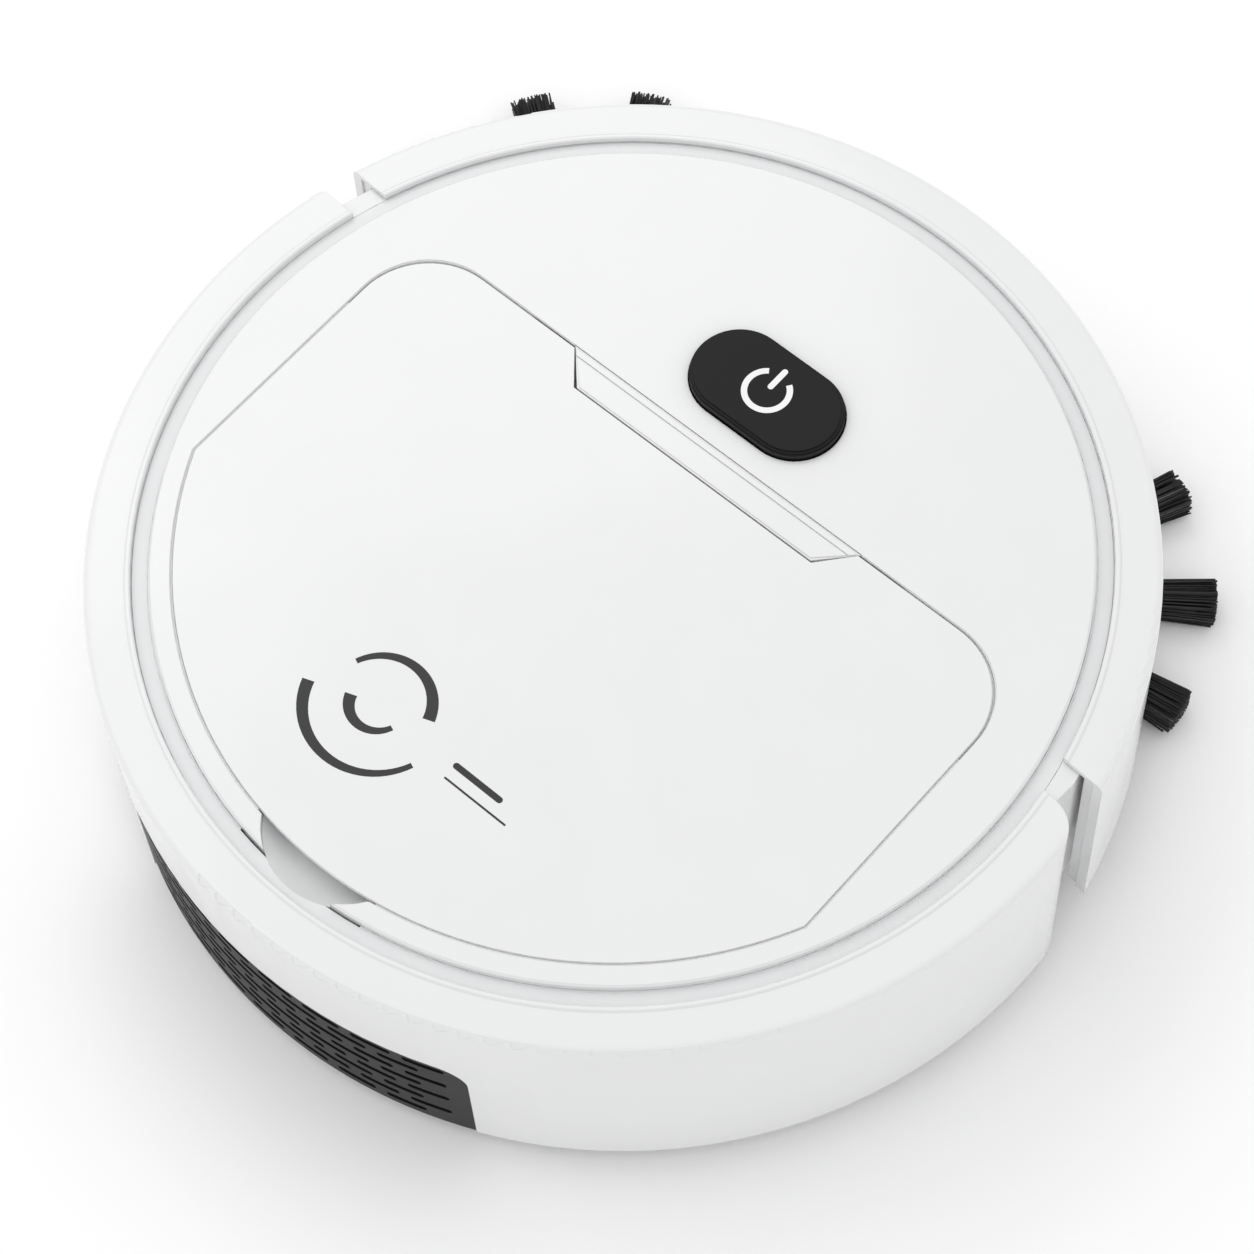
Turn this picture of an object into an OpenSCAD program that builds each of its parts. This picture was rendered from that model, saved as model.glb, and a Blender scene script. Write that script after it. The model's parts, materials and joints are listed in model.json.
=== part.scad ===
// Robotic floor cleaner: round body, hinged lid, sprung bumper, two side brushes.
// z = 0 is the floor, +Y is forward (bumper), +X is the machine's right.

/* [Body] */
// Outer diameter of the body
body_d = 250; // [246:1:256]
// Height of the ring's top face above the floor
ring_z = 68; // [67.5:0.1:68.5]
// Ground clearance under the base plate
clear_z = 6; // [5.5:0.1:6]
// Thickness of the outer walls
wall = 2.7; // [2.4:0.1:2.8]
// Outer radius of the round centre panel
panel_r = 109.6; // [109:0.1:109.8]
// Inner radius of the raised ring
ring_in_r = 113.9; // [113.7:0.1:114.3]

/* [Lid] */
// Half width of the lid opening
lid_hw = 94; // [92:0.5:95]
// Front edge of the lid opening
lid_front = 33.8; // [33.4:0.1:34]
// Radius of the lid's rear edge
lid_r = 104.4; // [103:0.1:105]
// Radius of the lid's front corners
lid_corner = 20; // [16:1:24]
// Gap between the lid and its opening
lid_gap = 0.4; // [0.35:0.05:0.5]

/* [Button] */
// Length of the start button
button_l = 40.8; // [38:0.2:42]
// Width of the start button
button_w = 24; // [22:0.5:25]
// Height of the button above the panel
button_h = 2.6; // [1.8:0.1:3]

/* [Bumper] */
// Angle of each bumper end, measured from the X axis
bumper_end_a = 13.8; // [12:0.2:15]
// Angle of each rear body end, measured from the X axis
rear_end_a = 9.6; // [8:0.2:10]
// Turn of the bumper's ends about the centre
bumper_turn = -3.3; // [-4:0.1:0]

/* [Brushes] */
// Radius of a side brush over its tufts
brush_r = 63; // [58:0.5:63]
// Number of tufts on a side brush
tufts = 12; // [8:1:14]

/* [Wheels] */
// Radius of a drive wheel
wheel_r = 23; // [22.5:0.1:23]
// Width of a drive wheel
wheel_w = 15; // [12:0.5:16]

/* [Grille] */
// Half angle covered by the exhaust grille
grille_half_a = 24.6; // [24:0.2:28]
// Rows of slots in the grille
grille_rows = 8; // [6:1:9]

/* [Output] */
// Node to show, or all

/* [Hidden] */
$fn = 96;

body_r = body_d / 2;
top_z = ring_z + 0.6;            // top of the panel and the lid
step_z = ring_z - 1.6;           // casing step under the bumper's top plate
step_low = step_z - 3.6;
deck_top = 62.5;
deck_t = 2;
plate_t = 3;
plate_top = clear_z + plate_t;   // inside floor of the base plate
front_low = 9.6;                 // the base is stepped up over the side brushes
front_top = front_low + plate_t;
step_y = 6;                      // where the step up starts
front_wall_r = 118.5;            // outside of the casing's front wall
front_wall_in = 116.3;
outer_in = body_r - wall;        // inside of the outer wall
panel_t = 2.4;
panel_low = top_z - panel_t;

hinge_y = lid_front + 5.1;       // lid hinge axis
hinge_z = top_z - 5;
hinge_clear = 7.43;              // radius kept free of lid around the axis
arm_x = 52;                      // centre of each hinge arm
arm_w = 4;
pin_r = 1.2;
run_gap = 0.05;                  // radial running clearance

notch_r = 19.8;                    // finger notch behind the lid
notch_y = -92.1;
button_y = 52.4;

wheel_x = 91.5;                  // inner face of a drive wheel
axle_y = -12;
axle_z = wheel_r;
axle_r = 1.9;
gear_m = 0.7;                    // gear module
gear_pa = 25;                    // pressure angle
gear_play = 0.12;                // extra centre distance
wheel_teeth = 36;
small_teeth = 12;
big_teeth = 40;
mesh1_a = 23;                    // direction from the wheel axle to the compound gear
mesh2_a = -20;                   // direction from the compound gear to the motor
mesh1_d = gear_m * (wheel_teeth + small_teeth) / 2 + gear_play;
mesh2_d = gear_m * (big_teeth + small_teeth) / 2 + gear_play;
comp_y = axle_y + mesh1_d * cos(mesh1_a);
comp_z = axle_z + mesh1_d * sin(mesh1_a);
mot_y = comp_y + mesh2_d * cos(mesh2_a);
mot_z = comp_z + mesh2_d * sin(mesh2_a);
box_in_x = 70;                   // gearbox inside, from cover to outer wall
box_out_x = 84;

caster = [-14.3, 104.5];
caster_r = 5.2;
caster_trail = 2;
cup_r = 8.9;
brush_right = [48.5, 70];
brush_left = [-79.6, 75.6];
brush_turn_right = 6.9;
brush_turn_left = 26.2;
hub_r = 13;
cell_z = front_top + 9.5;
fan_z = 34.4;
grille_top = 42;
slot_l = 10.4;
slot_h = 2;
grille_hw = body_r * sin(grille_half_a);
screw_at = [[60, -85], [-60, -85], [36, 91], [-36, 91], [98, 28], [-98, 28]];
spring_x = 40;
tongue_x = 66;
socket_a = 215;

// ---- helpers ----
module along_x(x0, len) { translate([x0, 0, 0]) rotate([90, 0, 90]) linear_extrude(len) children(); }
module along_y(y0, len) { translate([0, y0, 0]) rotate([90, 0, 180]) linear_extrude(len) children(); }
module rod_y(y0, y1, z, r, x = 0) {
  translate([x, y0, z]) rotate([-90, 0, 0]) cylinder(h = y1 - y0, r = r);
}
module rod_x(x0, x1, y, z, r) { translate([x0, y, z]) rotate([0, 90, 0]) cylinder(h = x1 - x0, r = r); }
module box(a, b) { translate(a) cube(b - a); }
module side(s) { if (s > 0) children(); else mirror([1, 0, 0]) children(); }
module pair() { children(); mirror([1, 0, 0]) children(); }
module ring(r0, r1, z0, z1) {
  rotate_extrude($fn = 200) translate([r0, z0]) square([r1 - r0, z1 - z0]);
}
module stadium(l, w) {
  square([l - w, w], center = true);
  for (s = [-1, 1]) translate([s * (l - w) / 2, 0]) circle(d = w);
}
module round_rect(x0, y0, x1, y1, r) {
  translate([x0 + r, y0]) square([x1 - x0 - 2 * r, y1 - y0]);
  translate([x0, y0 + r]) square([x1 - x0, y1 - y0 - 2 * r]);
  for (x = [x0 + r, x1 - r], y = [y0 + r, y1 - r]) translate([x, y]) circle(r = r);
}
// Region in front of a cut that runs along X just past each bumper end
module front_zone(a) {
  rotate(bumper_turn) box([-150, body_r * sin(a), -1], [150, 150, 90]);
}

// Involute gear outline with one tooth on the +X axis
function inv_a(r, rb) = let(t = sqrt(max(0, r * r / (rb * rb) - 1))) t * 180 / PI - atan(t);
function flank(n, r) = let(rp = gear_m * n / 2, rb = rp * cos(gear_pa))
  90 / n + inv_a(rp, rb) - inv_a(max(r, rb), rb) - 0.05 * 180 / PI / rp;
function gear_points(n) = let(rp = gear_m * n / 2, rb = rp * cos(gear_pa), rr = rp - 1.2 * gear_m,
    ra = rp + 0.92 * gear_m, rs = [rr, max(rr, rb), rp * 0.99, rp + 0.45 * gear_m, ra])
  [for (i = [0:n - 1]) each concat(
    [for (r = rs) let(a = i * 360 / n - flank(n, r)) [r * cos(a), r * sin(a)]],
    [for (k = [4:-1:0]) let(r = rs[k], a = i * 360 / n + flank(n, r)) [r * cos(a), r * sin(a)]])];
module gear(n, turn) { rotate(turn) polygon(gear_points(n)); }

// Coil spring standing on z = 0, as one swept tube
module coil(r, wire, h, turns, sides = 8, steps = 16) {
  n = turns * steps;
  pts = [for (i = [0:n]) let(a = 360 * i / steps, z = wire + (h - 2 * wire) * i / n)
    for (k = [0:sides - 1]) let(b = 360 * k / sides)
      [(r + wire * cos(b)) * cos(a), (r + wire * cos(b)) * sin(a), z + wire * sin(b)]];
  faces = concat([[for (k = [0:sides - 1]) k]],
    [for (i = [0:n - 1], k = [0:sides - 1]) let(a = i * sides + k, b = i * sides + (k + 1) % sides)
      each [[a, a + sides, b], [b, a + sides, b + sides]]],
    [[for (k = [sides - 1:-1:0]) n * sides + k]]);
  polyhedron(points = pts, faces = faces, convexity = 8);
}

// Lid opening outline, drawn in by g
module lid_outline(g) {
  intersection() {
    circle(r = lid_r - g, $fn = 240);
    union() {
      w = lid_hw - g;
      f = lid_front - g;
      translate([-w, -120]) square([2 * w, 120 + f - lid_corner]);
      translate([lid_corner - w, -120]) square([2 * (w - lid_corner), 120 + f]);
      for (s = [-1, 1]) translate([s * (w - lid_corner), f - lid_corner]) circle(r = lid_corner);
    }
  }
}
// Fixed strip in the middle of the lid's front edge, grown by g
module strip_outline(g) {
  polygon([[-36 - g, 25.4 - g], [36 + g, 25.4 - g], [44 + 1.35 * g, 33.9 + g], [-44 - 1.35 * g, 33.9 + g]]);
}

// ---- shell ----
module floor_disc(z, r1, r2) {
  translate([0, 0, z]) cylinder(h = plate_t - 0.8, r1 = r1, r2 = r2, $fn = 200);
  translate([0, 0, z + plate_t - 0.8]) cylinder(h = 0.8, r = r2, $fn = 200);
}
module base_floor() difference() {
  union() {
    intersection() {
      floor_disc(clear_z, outer_in - 2.4, outer_in - 0.3);
      box([-140, -140, 0], [140, step_y, 40]);
    }
    intersection() { floor_disc(front_low, 115.8, 118); box([-140, step_y - 3, 0], [140, 140, 40]); }
    intersection() { ring(0.01, 117.5, clear_z, front_top); box([-140, step_y - 3, 0], [140, step_y, 40]); }
  }
  pair() box([88.4, axle_y - 26.5, 0], [110.6, axle_y + 26.5, 20]);     // wheel wells
  translate([caster[0], caster[1], 0]) cylinder(h = 20, r = cup_r);
  box([-41, -42, 0], [41, -22, 20]);                                    // suction mouth
  box([-38.3, 39.7, 0], [38.3, 80.3, 20]);                              // battery door
  for (b = [brush_right, brush_left]) translate([b[0], b[1], 0]) cylinder(h = 20, r = 4);
  for (p = screw_at) translate([p[0], p[1], screw_low(p) - 0.6]) {
    cylinder(h = 9, r = 1.6);
    cylinder(h = 2.7, r = 3.4);
  }
  intersection() {                                                      // exhaust corner
    box([-grille_hw - 1, -140, 0], [grille_hw + 1, -90, 20]);
    ring(119.5, 140, 0, 20);
  }
}
function screw_low(p) = p[1] > step_y ? front_low : clear_z;
module base_plate() color("gainsboro") {
  base_floor();
  pair() difference() {                                                 // wheel arches
    along_x(87, 24.9) difference() {
      union() {
        translate([axle_y, axle_z]) circle(r = 28);
        translate([axle_y - 28, plate_top]) square([56, axle_z - plate_top]);
      }
      translate([-100, -100 + plate_top]) square([200, 100]);
      translate([step_y, 0]) square([20, front_top]);
    }
    along_x(88.4, 22.2) union() {
      translate([axle_y, axle_z]) circle(r = 26.5);
      translate([axle_y - 26.5, 0]) square([53, axle_z]);
    }
    rod_x(80, 89, axle_y, axle_z, 4);
  }
  translate([caster[0], caster[1], front_top]) difference() {           // caster cup
    union() { cylinder(h = 7, r = cup_r + 1.4); cylinder(h = 12, r = 4.6); }
    translate([0, 0, -1]) cylinder(h = 6.6, r = cup_r);
    translate([0, 0, -1]) cylinder(h = 16, r = 2 + run_gap);
  }
  difference() {                                                        // battery tray
    box([-40.6, 37.4, front_top], [40.6, 82.6, front_top + 15]);
    box([-38.3, 39.7, 0], [38.3, 80.3, 50]);
  }
  for (b = [brush_right, brush_left]) intersection() {
    translate([b[0], b[1], front_top]) difference() {
      cylinder(h = 5, r = 7.2);
      translate([0, 0, -1]) cylinder(h = 7, r = 6.1);
    }
    cylinder(h = 50, r = 116, $fn = 200);
  }
}

module ring_lip() {
  translate([ring_in_r, ring_z - 0.5])
    polygon([[0, 0], [1.8, 0], [1.4, 0.6], [1, 0.9], [0.35, 0.9], [0, 0.6]]);
}
module rebate() { translate([panel_r, step_z - 0.8]) square([ring_in_r - 0.1 - panel_r, 2]); }
module rear_shell() rotate_extrude($fn = 200) {
  translate([outer_in, clear_z]) square([wall, ring_z - clear_z - 2]);
  difference() {
    translate([panel_r + 0.4, step_low]) square([body_r - 1 - panel_r, step_z - step_low]);
    rebate();
  }
  translate([ring_in_r, step_low + 1]) square([body_r - ring_in_r - 2, ring_z - step_low - 1]);
  translate([body_r - 2, ring_z - 2]) circle(r = 2, $fn = 64);
  ring_lip();
}
module front_shell() rotate_extrude($fn = 200) difference() {
  union() {
    translate([front_wall_in, front_top]) square([front_wall_r - front_wall_in, step_z - front_top]);
    translate([panel_r + 0.4, step_low]) square([front_wall_r - panel_r - 0.4, step_z - step_low]);
  }
  rebate();
}
// What is cut from a rear end to round its outer corner
module rear_corner(r) {
  y = body_r * sin(rear_end_a) - r;
  x = sqrt(pow(body_r - r, 2) - pow(y, 2)) - 0.1;
  linear_extrude(90) difference() {
    translate([x, y + 1]) square([20, 20]);
    translate([x, y]) circle(r = r);
  }
}
module body_casing() color("white") {
  end_y = body_r * sin(rear_end_a);
  difference() {
    union() {
      intersection() {
        rear_shell();
        rotate(bumper_turn) box([-150, -150, -1], [150, end_y, 90]);
      }
      intersection() {                                                  // closed ends
        ring(front_wall_in - 0.7, outer_in + 1, front_top + 0.1, step_low + 2);
        rotate(bumper_turn) box([-150, end_y - 18, 0], [150, end_y, 90]);
      }
      intersection() {
        front_shell();
        rotate(bumper_turn) box([-150, end_y, -1], [150, 150, 90]);
      }
      pair() intersection() {                                           // spring cups
        rod_y(103, 115, 30, 5.8, spring_x);
        cylinder(h = 90, r = front_wall_r - 0.4, $fn = 200);
      }
    }
    rotate(bumper_turn) {
      rear_corner(9);
      mirror([1, 0, 0]) rear_corner(3);
    }
    pair() {
      rod_y(104.5, 140, 30, 4.6, spring_x);
      box([tongue_x - 4.4, 60, 37.6], [tongue_x + 4.4, 130, 42.4]);
    }
    // exhaust window, finger notch, charging hole
    along_y(-150, 60) grille_window(0.25);
    translate([0, notch_y, deck_top]) cylinder(h = 20, r = notch_r);
    rotate(socket_a) rod_x(110, 140, 0, 30, 4.3);
  }
}
module grille_window(g) {
  round_rect(-grille_hw - g, -20, grille_hw + g, grille_top + g, 7);
}

module trim_ring() color("lightgray") difference() {
  ring(panel_r + 0.5, ring_in_r - 0.2, step_z - 0.75, step_z);
  translate([0, notch_y, 0]) cylinder(h = 90, r = notch_r);
}

module top_panel() color("white") difference() {
  union() {
    translate([0, 0, panel_low]) difference() {
      union() {
        cylinder(h = panel_t - 0.5, r = panel_r, $fn = 200);
        translate([0, 0, panel_t - 0.5]) cylinder(h = 0.5, r1 = panel_r, r2 = panel_r - 0.5, $fn = 200);
      }
      translate([0, 0, -1]) linear_extrude(9) lid_outline(0);
      translate([0, 0, -1]) linear_extrude(9) strip_outline(0.15);
      translate([0, 0, panel_t - 0.25]) linear_extrude(1) lid_outline(-0.2);
    }
    ring(panel_r - 2.6, panel_r, deck_top + 0.1, panel_low);
    intersection() {
      translate([0, 0, deck_top + 0.1]) linear_extrude(panel_low - 0.1 - deck_top - 0.1) difference() {
        circle(r = panel_r - 1);
        lid_outline(4);
      }
      box([-120, -120, 0], [120, 20, 90]);
    }
  }
  translate([0, button_y, 0]) linear_extrude(90) stadium(button_l + 0.7, button_w + 0.7);
  translate([0, notch_y, deck_top]) cylinder(h = 20, r = notch_r);
  translate([0, 0, panel_low - 0.2]) linear_extrude(9) intersection() {
    lid_outline(0);
    translate([0, -60]) square([300, 200], center = true);
  }
}

module hinge_cover() color("white") {
  difference() {
    union() {
      translate([0, 0, top_z - 1.6]) linear_extrude(1.35) strip_outline(0);
      translate([0, 0, top_z - 0.25]) linear_extrude(0.25) strip_outline(-0.45);
    }
    box([-60, 31.7, top_z - 0.35], [60, 32, top_z + 1]);
  }
  box([-38, 29.5, deck_top + 0.1], [38, 31, top_z - 1.6]);
}
module hinge_pins() color("silver") pair() {
  rod_x(arm_x - 7, arm_x + 7, hinge_y, hinge_z, pin_r);
}

module inner_deck() color("whitesmoke") {
  difference() {
    translate([0, 0, deck_top - deck_t]) cylinder(h = deck_t, r = 115.3, $fn = 200);
    box([-48, -50.4, 0], [48, 6, 90]);                                   // over the dust box
    pair() box([arm_x - 4.5, 24, 0], [arm_x + 4.5, 46, 90]);            // hinge arms
    translate([0, button_y, 0]) cylinder(h = 90, r = 7.5);
    pair() rod_x(arm_x - 8, arm_x + 8, hinge_y, hinge_z, pin_r + 0.1);
  }
  pair() for (x = [arm_x - 6.9, arm_x + 4.5]) difference() {            // hinge ears
    union() {
      box([x, hinge_y - 3, deck_top], [x + 2.4, hinge_y + 3, hinge_z]);
      rod_x(x, x + 2.4, hinge_y, hinge_z, 2.5);
    }
    rod_x(x - 1, x + 4, hinge_y, hinge_z, pin_r + 0.02);
  }
  for (p = screw_at) translate([p[0], p[1], screw_low(p) + plate_t + 0.1]) difference() {
    cylinder(h = deck_top - deck_t - screw_low(p) - plate_t - 0.1, r = 4);
    translate([0, 0, -1]) cylinder(h = 16, r = 1.5);
  }
  for (x = [-31, 31], y = [46, 74]) difference() {                      // board posts
    translate([x, y, 55.8]) cylinder(h = deck_top - deck_t - 55.8, r = 3);
    translate([x, y, 55]) cylinder(h = 4, r = 1);
  }
}

module exhaust_grille() color("dimgray") difference() {
  intersection() {
    ring(122.5, body_r - 0.3, clear_z + 0.2, 60);
    along_y(-150, 60) grille_window(0);
  }
  rows_z0 = clear_z + 3.6;
  row_step = (grille_top - clear_z - 6.4) / (grille_rows - 1);
  for (i = [0:grille_rows - 1], k = [-4:4]) {
    a = -90 + (k + (i % 2) * 0.5 - 0.25) * 6.1;
    z = rows_z0 + i * row_step;
    lim = grille_half_a - (i > grille_rows - 3 ? 4.2 : 3.4);
    if (abs(a + 90) < lim) rotate(a) along_x(118, 12) translate([0, z]) stadium(slot_l, slot_h);
  }
}

// ---- dust path ----
module suction_mouth() color("dimgray") difference() {
  union() {
    box([-40.7, -41.7, clear_z - 1.2], [40.7, -22.3, 11.6]);
    box([-43, -44, plate_top + 0.1], [43, -20, plate_top + 1.6]);
  }
  box([-38.7, -39.7, 0], [38.7, -24.3, 20]);
}
module inlet_blade() color("black") {
  box([-38, -44.6, 0.8], [38, -42.9, clear_z - 0.05]);
}
module dust_box() color("lightslategray") {
  difference() {
    box([-46, -48, 12], [46, 2.6, 58]);
    box([-44.4, -46.4, 13.6], [44.4, 1, 60]);
    box([-38.7, -39.7, 10], [38.7, -24.3, 20]);                         // inlet
    box([-29, -50, 18], [29, -40, 50]);                                 // filter window
  }
  difference() {                                                        // inlet lip
    box([-40.2, -41.2, 13.6], [40.2, -22.8, 22]);
    box([-38.7, -39.7, 10], [38.7, -24.3, 30]);
  }
  box([-44.4, -8, 54], [44.4, -5.6, 57.6]);                               // carry bar
}
module filter_frame() color("white") difference() {
  box([-31.5, -46.2, 23], [31.5, -42, 53]);
  box([-28.5, -50, 26], [28.5, -40, 50]);
}
module filter_pleats() color("beige") {
  n = 22;
  x0 = -28.2;
  w = 56.4 / n;
  translate([0, 0, 26.2]) linear_extrude(23.6) polygon(concat(
    [for (i = [0:n]) [x0 + i * w, i % 2 == 0 ? -45.9 : -42.9]],
    [for (i = [n:-1:0]) [x0 + i * w, i % 2 == 0 ? -45.3 : -42.3]]));
}
module fan_seal() color("dimgray") difference() {
  rod_y(-50.4, -48.1, fan_z, 20);
  rod_y(-52, -47, fan_z, 16);
}
module fan_housing() color("lightgray") {
  difference() {
    rod_y(-67, -50.5, fan_z, 24.5);
    rod_y(-68, -52.3, fan_z, 22.8);
    rod_y(-55, -50, fan_z, 14);
  }
  for (k = [0:2])
    translate([0, 0, fan_z]) rotate([0, 120 * k + 30, 0]) translate([13.4, -70, -2]) cube([9.9, 3.5, 4]);
  difference() {
    rod_y(-76, -66.5, fan_z, 14);
    rod_y(-80, -60, fan_z, 12.1);
  }
  difference() {
    box([-22, -64, plate_top + 0.1], [22, -54, 16]);
    rod_y(-70, -50, fan_z, 23.4);
  }
}
module fan_motor() color("silver") difference() {
  union() {
    rod_y(-92, -68, fan_z, 12);
    rod_y(-68, -66.2, fan_z, 4);
    rod_y(-94, -92, fan_z, 5);
    for (x = [-6, 6]) box([x - 1.2, -96, fan_z - 0.3], [x + 1.2, -92, fan_z + 0.3]);
  }
  rod_y(-80, -60, fan_z, 1 + run_gap);
}
module fan_impeller() color("white") {
  rod_y(-79, -55, fan_z, 1);
  rod_y(-65.4, -64, fan_z, 21.8);
  rod_y(-65.4, -56, fan_z, 4.5);
  for (k = [0:10]) translate([0, -64.2, fan_z]) rotate([90, 360 / 11 * k, 0]) rotate([180, 0, 0])
    translate([3.5, -0.5, 0]) cube([17.6, 1, 8.8]);
}

// ---- power ----
module battery_cells() color("steelblue") for (y = [50.4, 69.6]) rod_x(-32.5, 32.5, y, cell_z, 9.1);
module battery_contacts() color("silver") for (s = [-1, 1], y = [50.4, 69.6]) {
  box([s * 36.9 - 0.4, y - 7, cell_z - 8], [s * 36.9 + 0.4, y + 7, cell_z + 7]);
  rod_x(s > 0 ? 32.7 : -36.5, s > 0 ? 36.5 : -32.7, y, cell_z, 2.2);
}
module battery_cover() color("gainsboro") difference() {
  union() {
    box([-38, 40, front_low + 0.2], [38, 80, front_low + 1.8]);
    for (y = [42, 76]) box([-30, y, front_low + 1.8], [30, y + 2, front_top]);
  }
  for (i = [0:3]) box([-20 + 11 * i, 44, 0], [-14 + 11 * i, 45.4, front_low + 0.9]);
}
module main_pcb() color("darkgreen") {
  difference() {
    box([-36, 41, 54], [36, 79, 55.6]);
    for (x = [-31, 31], y = [46, 74]) translate([x, y, 50]) cylinder(h = 10, r = 1.3);
  }
  box([-24, 62, 55.6], [-14, 72, 57]);
  box([12, 64, 55.6], [24, 70, 59]);
  translate([20, 47, 55.6]) cylinder(h = 4.4, r = 3);
  box([-27, 43, 55.6], [-17, 47, 59]);
}
module start_switch() color("black") {
  box([-3, button_y - 3, 55.6], [3, button_y + 3, 58.2]);
  translate([0, button_y, 58.2]) cylinder(h = 0.8, r = 1.6);
}
module charge_socket() color("black") rotate(socket_a) difference() {
  union() {
    rod_x(108, body_r - 0.4, 0, 30, 4.2);
    rod_x(106, 121.5, 0, 30, 5.8);
  }
  rod_x(112, 140, 0, 30, 2.8);
}

// ---- drive ----
module gearbox_shape(g) {
  for (c = [[axle_y, axle_z, 14.4], [comp_y, comp_z, 15.2], [mot_y, mot_z, 7.4]])
    translate([c[0], c[1]]) circle(r = c[2] + g);
}
module gearbox() color("darkgray") difference() {
  along_x(box_in_x + 0.05, box_out_x + 2.4 - box_in_x) difference() {
    gearbox_shape(1.7);
    translate([-100, -100 + plate_top + 0.1]) square([200, 100]);
  }
  along_x(box_in_x - 1, box_out_x - box_in_x + 1) difference() {
    gearbox_shape(0);
  }
  rod_x(60, 100, axle_y, axle_z, axle_r + run_gap);
  rod_x(60, box_out_x + 1.6, comp_y, comp_z, 1.5 + run_gap);
}
module gearbox_cover() color("gray") difference() {
  along_x(box_in_x - 2, 2) difference() {
    gearbox_shape(1.7);
    translate([-100, -100 + plate_top + 0.1]) square([200, 100]);
  }
  rod_x(60, 75, axle_y, axle_z, axle_r + run_gap);
  rod_x(60, 75, comp_y, comp_z, 1.5 + run_gap);
  rod_x(60, 75, mot_y, mot_z, 3.1);
}
module drive_motor() color("silver") difference() {
  union() {
    rod_x(48, box_in_x - 2.1, mot_y, mot_z, 9.8);
    rod_x(box_in_x - 2.1, box_in_x, mot_y, mot_z, 3);
    rod_x(46.6, 48, mot_y, mot_z, 4);
  }
  rod_x(58, 75, mot_y, mot_z, 1 + run_gap);
}
module motor_pinion() color("gold") {
  rod_x(59, 77, mot_y, mot_z, 1);
  along_x(71.4, 4.6) translate([mot_y, mot_z]) gear(small_teeth, mesh2_a + 180);
}
module compound_gear() color("white") {
  rod_x(box_in_x - 1.8, box_out_x + 1.4, comp_y, comp_z, 1.5);
  // a gap of the big gear faces the pinion, and a tooth of the small one faces the wheel gear
  along_x(71.6, 4.2) translate([comp_y, comp_z]) gear(big_teeth, mesh2_a + 180 / big_teeth);
  along_x(75.8, 7.6) translate([comp_y, comp_z]) gear(small_teeth, mesh1_a + 180);
}
module wheel_gear() color("white") along_x(77.4, 5.4) translate([axle_y, axle_z]) difference() {
  gear(wheel_teeth, mesh1_a + 180 / wheel_teeth);
  circle(r = axle_r);
}
module wheel_rim() color("dimgray") {
  rod_x(box_in_x - 1.8, wheel_x + 2, axle_y, axle_z, axle_r);
  rod_x(87.2, wheel_x + 1, axle_y, axle_z, 3.4);
  along_x(wheel_x, wheel_w - 0.8) translate([axle_y, axle_z]) difference() {
    circle(r = wheel_r - 4);
    circle(r = wheel_r - 6);
  }
  along_x(wheel_x + 3, 3) translate([axle_y, axle_z]) difference() {
    circle(r = wheel_r - 5);
    for (k = [0:4]) rotate(72 * k) translate([11.2, 0]) circle(r = 3.6);
  }
  rod_x(wheel_x + 1, wheel_x + wheel_w - 2, axle_y, axle_z, 4.6);
}
module tyre() color("black") along_x(wheel_x, wheel_w) translate([axle_y, axle_z]) difference() {
  circle(r = wheel_r, $fn = 120);
  circle(r = wheel_r - 4);
  for (k = [0:23]) rotate(15 * k + 7.5) translate([wheel_r - 1.2, -0.9]) square([3, 1.8]);
}

// ---- caster ----
module caster_fork() color("dimgray") translate([caster[0], caster[1], 0]) {
  translate([0, 0, 12.6]) cylinder(h = 2, r = 7.6);
  translate([0, 0, 14.6]) cylinder(h = 10.2, r = 2);
  translate([0, 0, 24.8]) cylinder(h = 1, r = 3);
  for (s = [-1, 1]) difference() {
    box([s * 4.2 - 0.8, -caster_trail - 2.6, caster_r - 2.2], [s * 4.2 + 0.8, 3, 12.6]);
    rod_x(-10, 10, -caster_trail, caster_r, 1 + run_gap);
  }
}
module caster_wheel() color("black")
translate([caster[0], caster[1] - caster_trail, caster_r]) rotate([0, 90, 0]) {
  translate([0, 0, -2.7]) cylinder(h = 5.4, r = caster_r);
  translate([0, 0, -4.9]) cylinder(h = 9.8, r = 1);
}

// ---- side brushes ----
module brush_motor(p) color("silver") translate([p[0], p[1], front_top + 0.1]) difference() {
  union() { cylinder(h = 22, r = 6); translate([0, 0, 22]) cylinder(h = 1.6, r = 2.4); }
  translate([0, 0, -1]) cylinder(h = 11, r = 1.5 + run_gap);
}
module brush_hub(p, turn) color("dimgray") translate([p[0], p[1], 0]) rotate(turn) difference() {
  union() {
    translate([0, 0, 3]) cylinder(h = 4, r = hub_r);
    translate([0, 0, 7]) cylinder(h = 5.2, r = 3.4);
    translate([0, 0, 12]) cylinder(h = 9.4, r = 1.5);
  }
  translate([0, 0, 2]) cylinder(h = 2.6, r = 3.2);
  translate([0, 0, 2]) cylinder(h = 9, r = 0.8);
  for (k = [0:tufts - 1]) rotate(360 / tufts * k) translate([hub_r - 4, -2.6, 3.9]) cube([8, 5.2, 2.2]);
}
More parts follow.
